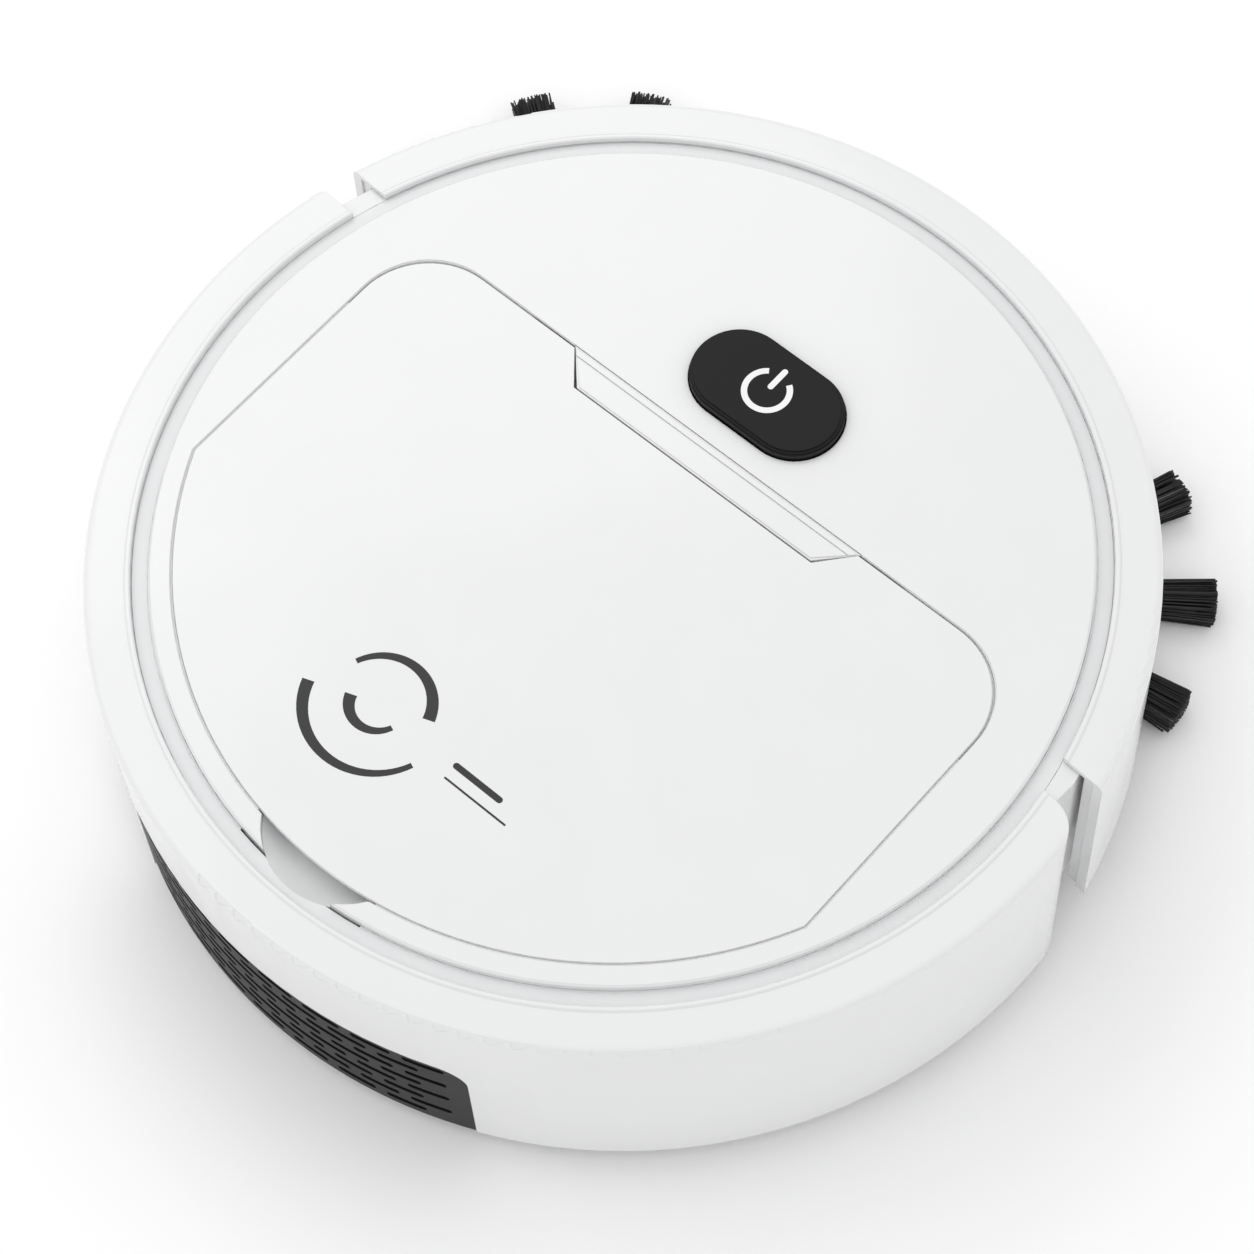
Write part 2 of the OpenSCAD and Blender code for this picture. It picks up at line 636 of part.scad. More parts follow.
// Each tuft widens and fans out from its slot in the hub to the tip
module brush_tufts(p, turn) color("black") translate([p[0], p[1], 0])
  for (k = [0:tufts - 1]) rotate(360 / tufts * k + turn) intersection() {
    linear_extrude(10) polygon([[hub_r - 3.9, -2.5], [hub_r + 0.1, -2.5], [brush_r - 0.6, -5.7], [brush_r, 0],
      [brush_r - 0.6, 5.7], [hub_r + 0.1, 2.5], [hub_r - 3.9, 2.5]]);
    translate([0, 8, 0]) rotate([90, 0, 0]) linear_extrude(16)
      polygon([[0, 4], [hub_r + 0.1, 4], [brush_r - 12, 1], [brush_r + 2, 0.8],
        [brush_r + 2, 9], [brush_r - 20, 7.6], [hub_r + 0.1, 6], [0, 6]]);
  }
module brush_screw(p) color("silver") translate([p[0], p[1], 0]) {
  translate([0, 0, 2.7]) cylinder(h = 1.8, r = 3);
  translate([0, 0, 4.5]) cylinder(h = 6, r = 0.77);
}

// ---- bumper ----
module bumper_ring() rotate_extrude($fn = 200) {
  difference() {
    union() {
      translate([outer_in, 10.5]) square([wall, ring_z - 12.5]);
      translate([ring_in_r, step_z + 0.3]) square([body_r - ring_in_r - 2, ring_z - step_z - 0.3]);
      translate([body_r - 2, ring_z - 2]) circle(r = 2, $fn = 64);
    }
    square([outer_in, step_z + 0.3]);
  }
  ring_lip();
}
module bumper() color("white") {
  end_y = body_r * sin(bumper_end_a);
  intersection() {
    bumper_ring();
    front_zone(bumper_end_a);
  }
  intersection() {                                                      // end flanges
    ring(119.7, body_r - 0.9, 11.5, ring_z - 1);
    rotate(bumper_turn) pair() box([100, end_y + 0.5, 0], [126, end_y + 2.3, 90]);
  }
  pair() intersection() {                                               // guide tongues
    box([tongue_x - 4, 88, 38], [tongue_x + 4, 112, 42]);
    cylinder(h = 90, r = outer_in + 1, $fn = 200);
  }
  pair() intersection() {                                               // spring posts
    rod_y(112, 124, 30, 2.2, spring_x);
    cylinder(h = 90, r = outer_in + 1, $fn = 200);
  }
}
module bumper_springs() color("silver") pair()
  translate([spring_x, 104.7, 30]) rotate([-90, 0, 0]) coil(3.6, 0.4, 9.1, 6);
module bumper_switches() color("black") pair() difference() {
  box([tongue_x - 5, 74, 34], [tongue_x + 5, 84.2, 46]);
  box([tongue_x - 3, 83, 39], [tongue_x + 3, 86, 41]);
}

module casing_screws() color("silver") for (p = screw_at) translate([p[0], p[1], 0]) {
  translate([0, 0, screw_low(p) + 0.3]) cylinder(h = 1.7, r = 3);
  translate([0, 0, screw_low(p) + 2]) cylinder(h = 14, r = 1.4);
}

// ---- start button ----
module start_button() color("black") translate([0, button_y, 0]) {
  translate([0, 0, 64.6]) linear_extrude(1.2) stadium(button_l + 3, button_w + 3);
  translate([0, 0, 65.8]) linear_extrude(top_z + button_h - 66.6) stadium(button_l, button_w);
  translate([0, 0, top_z + button_h - 0.8]) linear_extrude(0.4) stadium(button_l - 0.8, button_w - 0.8);
  translate([0, 0, top_z + button_h - 0.4]) linear_extrude(0.4) stadium(button_l - 2, button_w - 2);
  translate([0, 0, 60.5]) cylinder(h = 4.2, r = 2.2);
}
module button_spring() color("silver") translate([0, button_y, 55.7]) coil(5.4, 0.4, 8.8, 5);

// ---- lid ----
module lid() color("white") {
  difference() {
    union() {
      translate([0, 0, top_z - 0.4]) linear_extrude(0.4) lid_outline(lid_gap + 0.15);
      translate([0, 0, top_z - 0.9]) linear_extrude(0.5) lid_outline(lid_gap);
      translate([0, 0, top_z - 2.2]) linear_extrude(1.3) lid_outline(lid_gap + 1.3);
    }
    translate([0, 0, top_z - 3]) linear_extrude(4) strip_outline(0.5);
    translate([0, 0, top_z - 3]) linear_extrude(2.1) strip_outline(1.8);
    rod_x(-120, 120, hinge_y, hinge_z, hinge_clear);
  }
  pair() difference() {
    along_x(arm_x - arm_w / 2, arm_w) translate([hinge_y, hinge_z]) union() {
      difference() {
        circle(r = 10.3);
        circle(r = 7.8);
        translate([-20, 2.81]) square([40, 20]);
        translate([1.4, -20]) square([20, 40]);
      }
      translate([-1.2, -9]) square([2.6, 8]);
      circle(r = 2.3);
      translate([-9.9, 2.6]) square([2.4, 1]);
    }
    rod_x(arm_x - 4, arm_x + 4, hinge_y, hinge_z, pin_r + run_gap);
  }
}

base_plate();
body_casing();
trim_ring();
top_panel();
hinge_cover();
hinge_pins();
inner_deck();
exhaust_grille();
suction_mouth();
inlet_blade();
dust_box();
filter_frame();
filter_pleats();
fan_seal();
fan_housing();
fan_motor();
fan_impeller();
battery_cells();
battery_contacts();
battery_cover();
main_pcb();
start_switch();
charge_socket();
gearbox();  // gearbox_right
side(-1) gearbox();  // gearbox_left
gearbox_cover();  // gearbox_cover_right
side(-1) gearbox_cover();  // gearbox_cover_left
drive_motor();  // drive_motor_right
side(-1) drive_motor();  // drive_motor_left
motor_pinion();  // motor_pinion_right
side(-1) motor_pinion();  // motor_pinion_left
compound_gear();  // compound_gear_right
side(-1) compound_gear();  // compound_gear_left
wheel_rim();  // wheel_rim_right
side(-1) wheel_rim();  // wheel_rim_left
tyre();  // tyre_right
side(-1) tyre();  // tyre_left
wheel_gear();  // wheel_gear_right
side(-1) wheel_gear();  // wheel_gear_left
caster_fork();
caster_wheel();
brush_motor(brush_right);  // brush_motor_right
brush_motor(brush_left);  // brush_motor_left
brush_hub(brush_right, brush_turn_right);  // brush_hub_right
brush_hub(brush_left, brush_turn_left);  // brush_hub_left
brush_tufts(brush_right, brush_turn_right);  // brush_tufts_right
brush_tufts(brush_left, brush_turn_left);  // brush_tufts_left
brush_screw(brush_right);  // brush_screw_right
brush_screw(brush_left);  // brush_screw_left
bumper();
bumper_springs();
bumper_switches();
casing_screws();
start_button();
button_spring();
lid();
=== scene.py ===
import json
import math
import random

import bpy
from mathutils import Matrix, Vector


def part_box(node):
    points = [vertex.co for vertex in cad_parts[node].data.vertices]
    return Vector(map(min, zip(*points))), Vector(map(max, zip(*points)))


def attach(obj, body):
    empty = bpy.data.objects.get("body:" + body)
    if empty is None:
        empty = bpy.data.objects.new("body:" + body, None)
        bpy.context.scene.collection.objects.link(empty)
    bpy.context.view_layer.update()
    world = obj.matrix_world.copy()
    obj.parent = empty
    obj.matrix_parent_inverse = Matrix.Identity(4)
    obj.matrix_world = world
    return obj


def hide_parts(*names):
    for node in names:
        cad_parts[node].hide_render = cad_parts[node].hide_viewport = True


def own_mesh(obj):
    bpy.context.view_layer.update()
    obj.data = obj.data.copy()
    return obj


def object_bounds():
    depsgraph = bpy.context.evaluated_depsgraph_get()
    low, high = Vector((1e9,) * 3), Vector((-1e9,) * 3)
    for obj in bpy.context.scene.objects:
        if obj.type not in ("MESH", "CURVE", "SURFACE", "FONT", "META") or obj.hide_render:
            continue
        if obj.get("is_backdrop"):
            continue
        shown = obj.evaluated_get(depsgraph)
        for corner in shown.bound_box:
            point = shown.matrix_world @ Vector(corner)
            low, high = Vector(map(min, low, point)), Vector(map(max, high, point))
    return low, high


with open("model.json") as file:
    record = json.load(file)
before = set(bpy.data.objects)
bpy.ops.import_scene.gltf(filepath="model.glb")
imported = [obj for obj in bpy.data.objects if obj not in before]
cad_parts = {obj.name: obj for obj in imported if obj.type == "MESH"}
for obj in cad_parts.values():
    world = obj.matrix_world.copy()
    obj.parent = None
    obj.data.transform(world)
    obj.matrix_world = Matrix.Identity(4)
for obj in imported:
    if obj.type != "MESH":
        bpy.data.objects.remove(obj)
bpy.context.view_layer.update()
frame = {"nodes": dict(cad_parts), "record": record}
NODES = frame["nodes"]
MM = 0.001
UP = Vector((0, 0, 1))

# ------------------------------------------------------------------ materials

COAT_ROUGH = 0.08
LEAST_ROUGH = 0.02
BROAD_DETAIL, FINE_DETAIL = 3.0, 2.0
RAMP_DARK, RAMP_LIGHT = 0.3, 0.7
BEVEL_SAMPLES = 6
MIX_A, MIX_B, MIX_RESULT = 6, 7, 2  # the Mix node's colour sockets


def material(name, color, rough, vary=0.04, rough_vary=0.05, scale=60.0, bump=0.02, bump_scale=900.0,
             metallic=0.0, coat=0.0, bevel=0.0, speck=0.0, stretch=None, **sockets):
    """A moulded or machined surface: faint colour and gloss variation, fine texture in the bump.

    bump and bevel are in mm. Other sockets of the shader are named with _ for each space.
    """
    mat = bpy.data.materials.new(name)
    mat.use_nodes = True
    tree = mat.node_tree
    bsdf = tree.nodes["Principled BSDF"]
    bsdf.inputs["Metallic"].default_value = metallic
    bsdf.inputs["Coat Weight"].default_value = coat
    bsdf.inputs["Coat Roughness"].default_value = COAT_ROUGH
    for key, value in sockets.items():
        bsdf.inputs[key.replace("_", " ")].default_value = value
    coord = tree.nodes.new("ShaderNodeTexCoord").outputs["Object"]
    if stretch:
        mapping = tree.nodes.new("ShaderNodeMapping")
        mapping.inputs["Scale"].default_value = stretch
        tree.links.new(coord, mapping.inputs["Vector"])
        coord = mapping.outputs["Vector"]

    def noise(at, detail):
        texture = tree.nodes.new("ShaderNodeTexNoise")
        texture.inputs["Scale"].default_value = at
        texture.inputs["Detail"].default_value = detail
        tree.links.new(coord, texture.inputs["Vector"])
        return texture.outputs["Fac"]

    broad = noise(scale, BROAD_DETAIL)
    fine = noise(bump_scale, FINE_DETAIL)
    ramp = tree.nodes.new("ShaderNodeValToRGB")
    dark = [c * (1 - vary) for c in color]
    light = [min(1.0, c * (1 + vary)) for c in color]
    ramp.color_ramp.elements[0].position = RAMP_DARK
    ramp.color_ramp.elements[1].position = RAMP_LIGHT
    ramp.color_ramp.elements[0].color = (*dark, 1)
    ramp.color_ramp.elements[1].color = (*light, 1)
    tree.links.new(broad, ramp.inputs["Fac"])
    color_out = ramp.outputs["Color"]
    if speck:
        mix = tree.nodes.new("ShaderNodeMix")
        mix.data_type = "RGBA"
        mix.blend_type = "MULTIPLY"
        mix.inputs["Factor"].default_value = speck
        tree.links.new(color_out, mix.inputs[MIX_A])
        tree.links.new(fine, mix.inputs[MIX_B])
        color_out = mix.outputs[MIX_RESULT]
    tree.links.new(color_out, bsdf.inputs["Base Color"])
    spread = tree.nodes.new("ShaderNodeMapRange")
    spread.inputs["To Min"].default_value = max(LEAST_ROUGH, rough - rough_vary)
    spread.inputs["To Max"].default_value = rough + rough_vary
    tree.links.new(broad, spread.inputs["Value"])
    tree.links.new(spread.outputs["Result"], bsdf.inputs["Roughness"])
    relief = tree.nodes.new("ShaderNodeBump")
    relief.inputs["Strength"].default_value = 1.0
    relief.inputs["Distance"].default_value = bump * MM
    tree.links.new(fine, relief.inputs["Height"])
    if bevel:
        edge = tree.nodes.new("ShaderNodeBevel")
        edge.samples = BEVEL_SAMPLES
        edge.inputs["Radius"].default_value = bevel * MM
        tree.links.new(edge.outputs["Normal"], relief.inputs["Normal"])
    tree.links.new(relief.outputs["Normal"], bsdf.inputs["Normal"])
    return mat


WHITE = material("white_gloss", (0.782, 0.785, 0.79), 0.2, vary=0.006, rough_vary=0.03, bump=0.0015,
                 bump_scale=500, coat=0.35, bevel=0.25)
SATIN = material("white_satin", (0.78, 0.785, 0.79), 0.42, vary=0.015, bump=0.012, bump_scale=1500,
                 bevel=0.2)
TRIM = material("trim_grey", (0.755, 0.76, 0.765), 0.24, vary=0.006, rough_vary=0.03, bump=0.0015,
                bump_scale=500, coat=0.2)
BLACK = material("black_satin", (0.005, 0.005, 0.0055), 0.38, vary=0.1, bump=0.004, bump_scale=1400,
                 bevel=0.3, Specular_IOR_Level=0.22)
CHARCOAL = material("charcoal", (0.009, 0.009, 0.0095), 0.46, vary=0.12, bump=0.01, bump_scale=1800,
                    bevel=0.12, Specular_IOR_Level=0.2)
# Painted shade: a near-black sheet material that stands in for the shade inside the grille slots.
SLOT_SHADE = material("painted_slot_shade", (0.003, 0.003, 0.003), 0.95, vary=0.3, scale=800, bump=0.05,
                bump_scale=2500, Specular_IOR_Level=0.05)
DARK = material("dark_plastic", (0.035, 0.036, 0.039), 0.48, vary=0.12, bump=0.02, bump_scale=1500,
                bevel=0.2)
RUBBER = material("rubber", (0.02, 0.02, 0.02), 0.75, vary=0.2, bump=0.03, bump_scale=1200, speck=0.25,
                  bevel=0.2)
NYLON = material("nylon_white", (0.74, 0.72, 0.66), 0.4, vary=0.03, bump=0.01, bevel=0.1,
                 Subsurface_Weight=0.15, Subsurface_Scale=0.002)
PAPER = material("paper", (0.72, 0.69, 0.6), 0.85, vary=0.08, scale=200, bump=0.05, bump_scale=2500)
GREY = material("grey_plastic", (0.16, 0.165, 0.17), 0.45, vary=0.05, bump=0.015, bevel=0.2)
STEEL = material("steel", (0.52, 0.52, 0.53), 0.3, vary=0.06, metallic=1.0, bump=0.006, bump_scale=1500,
                 stretch=(1, 1, 8), bevel=0.15)
BRASS = material("brass", (0.6, 0.42, 0.16), 0.28, vary=0.06, metallic=1.0, bump=0.006)
CELL = material("cell_wrap", (0.03, 0.12, 0.3), 0.3, vary=0.05, bump=0.006, coat=0.3)
BOARD = material("board_green", (0.01, 0.09, 0.04), 0.35, vary=0.2, scale=400, bump=0.03,
                 bump_scale=700)
SMOKE = material("smoke_clear", (0.4, 0.43, 0.47), 0.14, vary=0.02, bump=0.004, bevel=0.2,
                 Transmission_Weight=0.75, IOR=1.45)
BRISTLE = material("bristle", (0.007, 0.007, 0.0075), 0.38, vary=0.5, scale=900, bump=0.01,
                   Specular_IOR_Level=0.4)
BRISTLE_PALE = material("bristle_pale", (0.09, 0.09, 0.093), 0.4, vary=0.4, scale=900, bump=0.01)
INK = material("ink_black", (0.014, 0.014, 0.016), 0.4, vary=0.15, bump=0.004)
INK_WHITE = material("ink_white", (0.85, 0.85, 0.86), 0.4, vary=0.02, bump=0.004)
FLOOR = material("floor", (0.968, 0.968, 0.968), 0.55, vary=0.004, scale=3, bump=0.001)

SLOTS = {"white_gloss": WHITE, "white_satin": SATIN, "trim_grey": TRIM, "black_satin": BLACK,
         "charcoal": CHARCOAL, "dark_plastic": DARK, "rubber": RUBBER, "smoke_clear": SMOKE,
         "nylon_white": NYLON, "paper": PAPER, "grey_plastic": GREY, "steel": STEEL, "brass": BRASS,
         "cell_wrap": CELL, "board_green": BOARD, "bristle": BRISTLE}

# ------------------------------------------------------------------ shading of the CAD nodes

SMOOTH_UNDER_DEG = 24
WELD = 2e-6  # metres


def smooth_group(limit_deg):
    """Geometry nodes that weld the mesh and smooth every edge flatter than the limit."""
    group = bpy.data.node_groups.new("smooth_by_angle", "GeometryNodeTree")
    group.interface.new_socket("Geometry", in_out="INPUT", socket_type="NodeSocketGeometry")
    group.interface.new_socket("Geometry", in_out="OUTPUT", socket_type="NodeSocketGeometry")
    nodes, links = group.nodes, group.links
    source, sink = nodes.new("NodeGroupInput"), nodes.new("NodeGroupOutput")
    weld = nodes.new("GeometryNodeMergeByDistance")
    weld.inputs["Distance"].default_value = WELD
    faces = nodes.new("GeometryNodeSetShadeSmooth")
    edges = nodes.new("GeometryNodeSetShadeSmooth")
    edges.domain = "EDGE"
    angle = nodes.new("GeometryNodeInputMeshEdgeAngle")
    test = nodes.new("FunctionNodeCompare")
    test.data_type = "FLOAT"
    test.operation = "LESS_THAN"
    test.inputs[1].default_value = math.radians(limit_deg)
    links.new(source.outputs[0], weld.inputs["Geometry"])
    links.new(weld.outputs["Geometry"], faces.inputs["Geometry"])
    links.new(faces.outputs["Geometry"], edges.inputs["Geometry"])
    links.new(angle.outputs["Unsigned Angle"], test.inputs[0])
    links.new(test.outputs["Result"], edges.inputs["Shade Smooth"])
    links.new(edges.outputs["Geometry"], sink.inputs[0])
    return group


SMOOTH = smooth_group(SMOOTH_UNDER_DEG)
slot_of = {s["node"]: s["material_slot"] for s in frame["record"]["subparts"]}
for name, obj in NODES.items():
    obj.data.materials.clear()
    obj.data.materials.append(SLOTS[slot_of[name]])
    obj.modifiers.new("smooth", "NODES").node_group = SMOOTH

# ------------------------------------------------------------------ mesh helpers


def make_object(name, verts, faces, mat, body, smooth=True):
    """A mesh object, from vertices in metres, that rides on a body."""
    mesh = bpy.data.meshes.new(name)
    mesh.from_pydata([tuple(v) for v in verts], [], faces)
    mesh.validate()
    mesh.update()
    for poly in mesh.polygons:
        poly.use_smooth = smooth
    obj = bpy.data.objects.new(name, mesh)
    bpy.context.scene.collection.objects.link(obj)
    obj.data.materials.append(mat)
    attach(obj, body)
    return obj


def prism(outline, z0, z1, verts, faces):
    """Adds a closed prism of a 2D outline, in mm, to the lists."""
    n, base = len(outline), len(verts)
    for z in (z0, z1):
        verts.extend(Vector((x * MM, y * MM, z * MM)) for x, y in outline)
    faces.append(tuple(base + i for i in reversed(range(n))))
    faces.append(tuple(base + n + i for i in range(n)))
    faces.extend((base + i, base + (i + 1) % n, base + n + (i + 1) % n, base + n + i) for i in range(n))


def arc_band(radius, width, a0, a1, centre, steps=28, taper=1.0):
    """2D outline of an arc with the given width, in mm. Its width shrinks to taper at the far end."""
    outer, inner = [], []
    for i in range(steps + 1):
        t = i / steps
        a = math.radians(a0 + (a1 - a0) * t)
        w = width * (1 + (taper - 1) * t) / 2
        outer.append((centre[0] + (radius + w) * math.cos(a), centre[1] + (radius + w) * math.sin(a)))
        inner.append((centre[0] + (radius - w) * math.cos(a), centre[1] + (radius - w) * math.sin(a)))
    return outer + inner[::-1]


def bar(x0, y0, x1, y1, width, steps=8):
    """2D outline of a straight bar with round ends, in mm."""
    a = math.atan2(y1 - y0, x1 - x0)
    out = []
    for (cx, cy), turn in (((x1, y1), a - math.pi / 2), ((x0, y0), a + math.pi / 2)):
        for i in range(steps + 1):
            b = turn + math.pi * i / steps
            out.append((cx + width / 2 * math.cos(b), cy + width / 2 * math.sin(b)))
    return out


# ------------------------------------------------------------------ printed marks
# Generic graphics, in mm: an air-flow mark on the lid and a power symbol on the button.

INK_DEPTH = 0.03
FLOW_CENTRE = (-15, -66)
FLOW_ARCS = [(17.5, 200, 338), (12.2, 20, 158), (6.9, 200, 338)]  # radius, first and last angle
FLOW_LINE, FLOW_TAPER = 3.0, 0.45
BAR_X = 9
BARS = [(-70, 27, 0.5), (-66.2, 22, 1.6)]  # y, right end, width
POWER_R, POWER_LINE = 5.4, 1.5
POWER_GAP = 35  # degrees left open on each side of the top
POWER_STROKE = (1.4, 6.6)  # the upright's ends, above the button's middle
POWER_STEPS = 48


def print_mark(name, outlines, top, ink, body):
    """Ink in the given outlines, on a flat top at the given height, in mm."""
    verts, faces = [], []
    for outline in outlines:
        prism(outline, top, top + INK_DEPTH, verts, faces)
    make_object(name, verts, faces, ink, body, smooth=False)


flow = [arc_band(r, FLOW_LINE, a0, a1, FLOW_CENTRE, taper=FLOW_TAPER) for r, a0, a1 in FLOW_ARCS]
flow += [bar(BAR_X, y, end, y, width) for y, end, width in BARS]
print_mark("lid_graphic", flow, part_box("lid")[1].z / MM, INK, "lid")

button_lo, button_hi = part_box("start_button")
button_y = (button_lo.y + button_hi.y) / 2 / MM
power = [arc_band(POWER_R, POWER_LINE, 90 + POWER_GAP, 450 - POWER_GAP, (0.0, button_y), steps=POWER_STEPS),
         bar(0.0, button_y + POWER_STROKE[0], 0.0, button_y + POWER_STROKE[1], POWER_LINE)]
print_mark("power_symbol", power, button_hi.z / MM, INK_WHITE, "start_button")

# ------------------------------------------------------------------ brush bristles
# Sizes are in mm. Along a fibre, s goes from 0 at the hub to 1 at the tip.

TUFTS = 12
ROOT_R, TIP_R = 9.4, 62.6
STATIONS = (0.0, 0.12, 0.35, 0.6, 0.82, 1.0)
FAN_FROM = 0.06                  # where the tuft starts to widen
HALF_W, FAN_W = 2.35, 3.0        # half width at the root, and its slope along s from FAN_FROM on
HALF_D, FAN_D = 0.85, 2.5        # the same for the half depth
MIDDLE_Z = 5.0
EDGE_W, EDGE_FAN = 2.4, 3.2      # no fibre's middle passes this half width
FLOOR_Z, TIP_FLOOR_Z, CEILING_Z = 1.4, 1.2, 8.7
TIP_FROM = 0.7                   # beyond this a fibre may reach down to TIP_FLOOR_Z
CROWN = 0.5                      # the outer fibres of a tuft are this much shorter
SHORT, SHORT_POWER = 1.6, 6      # a few fibres are up to this much shorter
RAGGED = 0.3                     # every fibre's end varies by up to this
BEND, LIFT = 0.3, 0.2
THIN_R, THICK_R = 0.22, 0.36
TIP_TAPER = 0.12
CORNERS = 4


def fibre(rng, origin, out, side, verts, faces):
    """Adds one square, closed fibre. All its random draws are made here, in this order."""
    u, v = rng.uniform(-1, 1), rng.uniform(-1, 1)
    crown = CROWN * u * u
    length = TIP_R - ROOT_R - crown - rng.random() ** SHORT_POWER * SHORT - rng.random() * RAGGED
    bend, lift = rng.gauss(0, BEND), rng.gauss(0, LIFT)
    radius = rng.uniform(THIN_R, THICK_R)
    base = len(verts)
    for s in STATIONS:
        r = ROOT_R + length * s
        fan = max(0.0, s - FAN_FROM)
        x = u * (HALF_W + FAN_W * fan) + bend * s * s
        z = MIDDLE_Z + v * (HALF_D + FAN_D * fan) + lift * s * s
        z = min(max(z, TIP_FLOOR_Z if s > TIP_FROM else FLOOR_Z), CEILING_Z)
        edge = EDGE_W + EDGE_FAN * s
        x = min(max(x, -edge), edge)
        p = origin + out * r + side * x + Vector((0, 0, z))
        shrink = 1 - TIP_TAPER * s
        for c in range(CORNERS):
            b = math.pi / 2 * c + math.pi / 4
            verts.append((p + (side * math.cos(b) + UP * math.sin(b)) * radius * shrink) * MM)
    last = base + CORNERS * (len(STATIONS) - 1)
    for ring in range(base, last, CORNERS):
        for c in range(CORNERS):
            d = (c + 1) % CORNERS
            faces.append((ring + c, ring + d, ring + CORNERS + d, ring + CORNERS + c))
    faces.append(tuple(base + c for c in reversed(range(CORNERS))))
    faces.append(tuple(last + c for c in range(CORNERS)))


def tuft_mesh(name, hub, turn, seed, strands, mat, body):
    """Fibres that fan out from each of the hub's slots."""
    rng = random.Random(seed)
    verts, faces = [], []
    origin = Vector((hub[0], hub[1], 0))
    for k in range(TUFTS):
        a = math.radians(turn + 360 / TUFTS * k)
        out = Vector((math.cos(a), math.sin(a), 0))
        side = Vector((-math.sin(a), math.cos(a), 0))
        for _ in range(strands):
            fibre(rng, origin, out, side, verts, faces)
    return make_object(name, verts, faces, mat, body)


BRUSHES = [("right", 6.9, 11, 21), ("left", 26.2, 12, 22)]  # side, first tuft's angle, two seeds
DENSE, PALE = 240, 9  # fibres in a tuft
for side, turn, seed, pale_seed in BRUSHES:
    lo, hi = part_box("brush_hub_" + side)
    hub = ((lo.x + hi.x) / 2 / MM, (lo.y + hi.y) / 2 / MM)
    body = "brush_" + side
    dense = tuft_mesh("bristles_" + side, hub, turn, seed, DENSE, BRISTLE, body)
    tuft_mesh("bristles_pale_" + side, hub, turn, pale_seed, PALE, BRISTLE_PALE, body)
    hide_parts("brush_tufts_" + side)

# ------------------------------------------------------------------ springs

TURN_STEPS = 28
WIRE_SIDES = 10


def coil(name, node, feet, axis, radius, wire_r, length, turns):
    """Round wire springs, in mm, that stand on their feet."""
    verts, faces = [], []
    along = Vector(axis)
    u = Vector((1, 0, 0))
    v = along.cross(u)
    steps = turns * TURN_STEPS
    for foot in feet:
        base = len(verts)
        for i in range(steps + 1):
            a = 2 * math.pi * turns * i / steps
            out = u * math.cos(a) + v * math.sin(a)
            p = Vector(foot) + out * radius + along * (wire_r + (length - 2 * wire_r) * i / steps)
            for k in range(WIRE_SIDES):
                b = 2 * math.pi * k / WIRE_SIDES
                verts.append((p + (out * math.cos(b) + along * math.sin(b)) * wire_r) * MM)
        for i in range(steps):
            for k in range(WIRE_SIDES):
                m = (k + 1) % WIRE_SIDES
                q = base + i * WIRE_SIDES
                faces.append((q + k, q + m, q + WIRE_SIDES + m, q + WIRE_SIDES + k))
        faces.append(tuple(base + k for k in reversed(range(WIRE_SIDES))))
        faces.append(tuple(base + steps * WIRE_SIDES + k for k in range(WIRE_SIDES)))
    obj = make_object(name, verts, faces, STEEL, "body")
    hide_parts(node)
    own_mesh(obj)


coil("bumper_coils", "bumper_springs", feet=[(40, 104.7, 30), (-40, 104.7, 30)], axis=(0, 1, 0),
     radius=3.6, wire_r=0.4, length=9.1, turns=6)
coil("button_coil", "button_spring", feet=[(0, 52.4, 55.7)], axis=(0, 0, 1),
     radius=5.4, wire_r=0.4, length=8.8, turns=5)

# ------------------------------------------------------------------ dust seal under the lid's lip
# In mm. The lid's sizes and the notch's place are those of part.scad.

LID_R, LID_HALF, LID_FRONT, LID_CORNER = 104.4, 94, 33.8, 20
NOTCH_Y = -92.1
NOTCH_CLEAR = 20.4               # the seal stops this far from the notch's middle
FRONT_X = (57, 62, 68)           # points of the front edge, beyond the hinge arm
SIDE_Y = range(8, -41, -6)       # points of the straight side
CORNER_STEPS, BACK_STEPS = 24, 220
SEAL_GAP = 0.02
LOW_RUNG = {"inset": 0.8, "z0": 66.1, "z1": 67.5}
HIGH_RUNG = {"inset": 0.34, "z0": 67.5, "z1": 68.15}
HIGH_RUNG_Y = 9                  # the upper rung is only behind this


def lid_edge(inset):
    """The lid opening from the right hinge arm round the back to the left one, in mm."""
    r, half, front = LID_R - inset, LID_HALF - inset, LID_FRONT - inset
    turn_a = math.acos(half / r)
    pts = [(x, front) for x in FRONT_X]
    for i in range(CORNER_STEPS + 1):
        a = math.pi / 2 * (1 - i / CORNER_STEPS)
        pts.append((half - LID_CORNER + LID_CORNER * math.cos(a),
                    front - LID_CORNER + LID_CORNER * math.sin(a)))
    pts += [(half, y) for y in SIDE_Y]
    left = [(-x, y) for x, y in reversed(pts)]
    for i in range(BACK_STEPS + 1):
        a = -turn_a - (math.pi - 2 * turn_a) * i / BACK_STEPS
        pts.append((r * math.cos(a), r * math.sin(a)))
    return pts + left


def seal_strips(inset, z0, z1, used, verts, faces):
    """One rung of the seal, from the panel's edge to the inset, wherever used(x, y) is true."""
    outer, inner = lid_edge(SEAL_GAP), lid_edge(inset)
    start = None
    for i in range(len(outer) + 1):
        here = i < len(outer) and used(*outer[i])
        if here and start is None:
            start = i
        elif not here and start is not None:
            prism(outer[start:i] + inner[start:i][::-1], z0, z1, verts, faces)
            start = None


def off_notch(x, y):
    return math.hypot(x, y - NOTCH_Y) > NOTCH_CLEAR


def behind_arms(x, y):
    return off_notch(x, y) and y < HIGH_RUNG_Y


verts, faces = [], []
seal_strips(used=off_notch, verts=verts, faces=faces, **LOW_RUNG)
seal_strips(used=behind_arms, verts=verts, faces=faces, **HIGH_RUNG)
make_object("lid_seal", verts, faces, SATIN, "body", smooth=False)

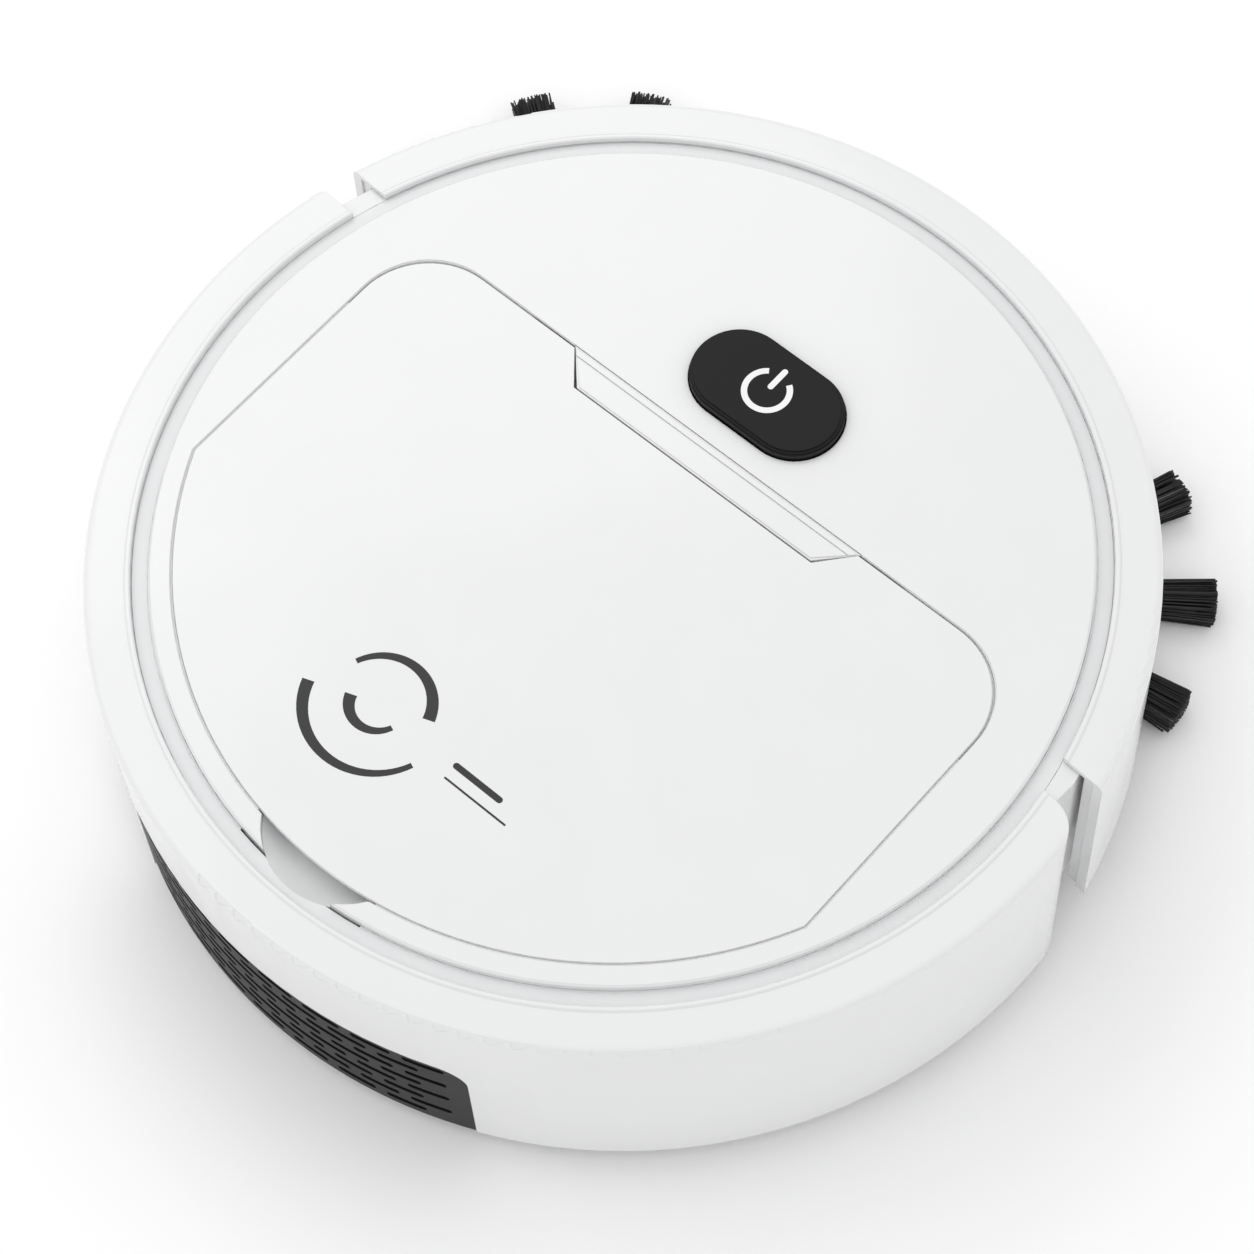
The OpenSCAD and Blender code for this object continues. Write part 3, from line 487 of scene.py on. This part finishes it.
# ------------------------------------------------------------------ bands round the machine's axis

BACK_DEG = -90
LINER_R, LINER_Z, LINER_GAP = (109.64, 110.06), (65.7, 66.36), 9.6
# The black sheet behind the grille slots is painted shade: it makes the slots look dark.
SLOT_SHADE_R, SLOT_SHADE_Z, SLOT_SHADE_HALF = (121.7, 122.25), (7.2, 41.4), 24


def band(name, radii, heights, a0, a1, steps, mat):
    """A closed band of rectangular section, in mm, turned about the machine's axis from a0 to a1."""
    (r0, r1), (z0, z1) = radii, heights
    section = [(r0, z0), (r1, z0), (r1, z1), (r0, z1)]
    verts, faces, n = [], [], len(section)
    for i in range(steps + 1):
        a = math.radians(a0 + (a1 - a0) * i / steps)
        verts += [Vector((r * math.cos(a), r * math.sin(a), z)) * MM for r, z in section]
    for i in range(steps):
        for k in range(n):
            m = (k + 1) % n
            faces.append((i * n + k, (i + 1) * n + k, (i + 1) * n + m, i * n + m))
    faces.append(tuple(reversed(range(n))))
    faces.append(tuple(steps * n + k for k in range(n)))
    obj = make_object(name, verts, faces, mat, "body")
    obj.modifiers.new("smooth", "NODES").node_group = SMOOTH


band("groove_liner", LINER_R, LINER_Z, BACK_DEG + LINER_GAP, BACK_DEG + 360 - LINER_GAP, 200, TRIM)
# Painted shade: a black sheet behind the grille slots, which darkens them.
band("slot_shade_sheet", SLOT_SHADE_R, SLOT_SHADE_Z, BACK_DEG - SLOT_SHADE_HALF, BACK_DEG + SLOT_SHADE_HALF, 60, SLOT_SHADE)

# ------------------------------------------------------------------ dished floor of the finger notch

DISH_R, DISH_W, DISH_HALF = 19.77, 9.5, 68  # outer radius and width in mm, half angle in degrees
DECK_Z, RIM_Z, DISH_SKIN = 62.53, 66.3, 0.04
DISH_CURVE = 2.2
DISH_RINGS, DISH_STEPS = 14, 72

profile = [(DISH_R, DECK_Z), (DISH_R, RIM_Z)]
for i in range(1, DISH_RINGS + 1):
    t = i / DISH_RINGS
    profile.append((DISH_R - DISH_W * t, DECK_Z + DISH_SKIN + (RIM_Z - DECK_Z) * (1 - t) ** DISH_CURVE))
profile.append((DISH_R - DISH_W, DECK_Z))
verts, faces, n = [], [], len(profile)
for i in range(DISH_STEPS + 1):
    a = math.radians(BACK_DEG - DISH_HALF + 2 * DISH_HALF * i / DISH_STEPS)
    for r, z in profile:
        verts.append(Vector((r * math.cos(a), NOTCH_Y + r * math.sin(a), z)) * MM)
for i in range(DISH_STEPS):
    for k in range(n):
        m = (k + 1) % n
        faces.append((i * n + k, i * n + m, (i + 1) * n + m, (i + 1) * n + k))
faces.append(tuple(range(n)))
faces.append(tuple(DISH_STEPS * n + k for k in reversed(range(n))))
dish = make_object("notch_dish", verts, faces, WHITE, "body")
dish.modifiers.new("smooth", "NODES").node_group = SMOOTH

# ------------------------------------------------------------------ floor and surroundings

FLOOR_HALF = 3.0  # metres
WORLD_STRENGTH = 0.93

mesh = bpy.data.meshes.new("floor")
h = FLOOR_HALF
mesh.from_pydata([(-h, -h, 0), (h, -h, 0), (h, h, 0), (-h, h, 0)], [], [(0, 1, 2, 3)])
floor = bpy.data.objects.new("floor", mesh)
floor.data.materials.append(FLOOR)
bpy.context.scene.collection.objects.link(floor)
floor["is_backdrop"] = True

scene = bpy.context.scene
world = bpy.data.worlds.new("studio")
scene.world = world
world.use_nodes = True
world.node_tree.nodes["Background"].inputs["Color"].default_value = (1, 1, 1, 1)
world.node_tree.nodes["Background"].inputs["Strength"].default_value = WORLD_STRENGTH
scene.view_settings.view_transform = "Standard"
scene.view_settings.look = "None"
scene.view_settings.exposure = 0.0

# ------------------------------------------------------------------ lights and camera
# Metres. The camera's place is given from the middle of the ring's top: right, back and up.

AZIMUTH, ELEVATION, ROLL = math.radians(45), math.radians(62.57), math.radians(-4.28)
LENS, SENSOR = 109.1, 36.0
RING_TOP = 0.068
CAM_RIGHT, CAM_BACK, CAM_UP = 0.0001, 0.4215, 0.7717
AIM = (0, 0, 0.03)

right = Vector((math.cos(AZIMUTH), math.sin(AZIMUTH), 0))
away = Vector((-math.sin(AZIMUTH), math.cos(AZIMUTH), 0))
forward = away * math.cos(ELEVATION) - Vector((0, 0, math.sin(ELEVATION)))
up = away * math.sin(ELEVATION) + Vector((0, 0, math.cos(ELEVATION)))
cam_right = right * math.cos(ROLL) + up * math.sin(ROLL)
cam_up = up * math.cos(ROLL) - right * math.sin(ROLL)


def area_light(name, toward, distance, size, energy):
    """A square softbox. toward is (right, away, up) as the camera sees it."""
    lamp = bpy.data.lights.new(name, "AREA")
    lamp.shape = "SQUARE"
    lamp.size = size
    lamp.energy = energy
    obj = bpy.data.objects.new(name, lamp)
    direction = (right * toward[0] + away * toward[1] + Vector((0, 0, toward[2]))).normalized()
    obj.location = Vector(AIM) + direction * distance
    obj.rotation_euler = (Vector(AIM) - obj.location).to_track_quat("-Z", "Y").to_euler()
    scene.collection.objects.link(obj)


area_light("key", (-0.75, 0.45, 1.0), distance=1.6, size=1.2, energy=3.4)
area_light("fill", (0.9, -0.5, 0.9), distance=1.9, size=1.6, energy=1.2)
area_light("sheen", (-0.15, 0.85, 1.0), distance=1.9, size=0.8, energy=2.4)

camera = bpy.data.cameras.new("camera")
camera.lens = LENS
camera.sensor_width = SENSOR
camera.clip_start, camera.clip_end = 0.01, 20
cam = bpy.data.objects.new("camera", camera)
position = right * CAM_RIGHT - away * CAM_BACK + Vector((0, 0, CAM_UP + RING_TOP))
basis = Matrix((cam_right, cam_up, -forward)).transposed().to_4x4()
cam.matrix_world = Matrix.Translation(position) @ basis
scene.collection.objects.link(cam)
scene.camera = cam

lo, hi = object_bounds()
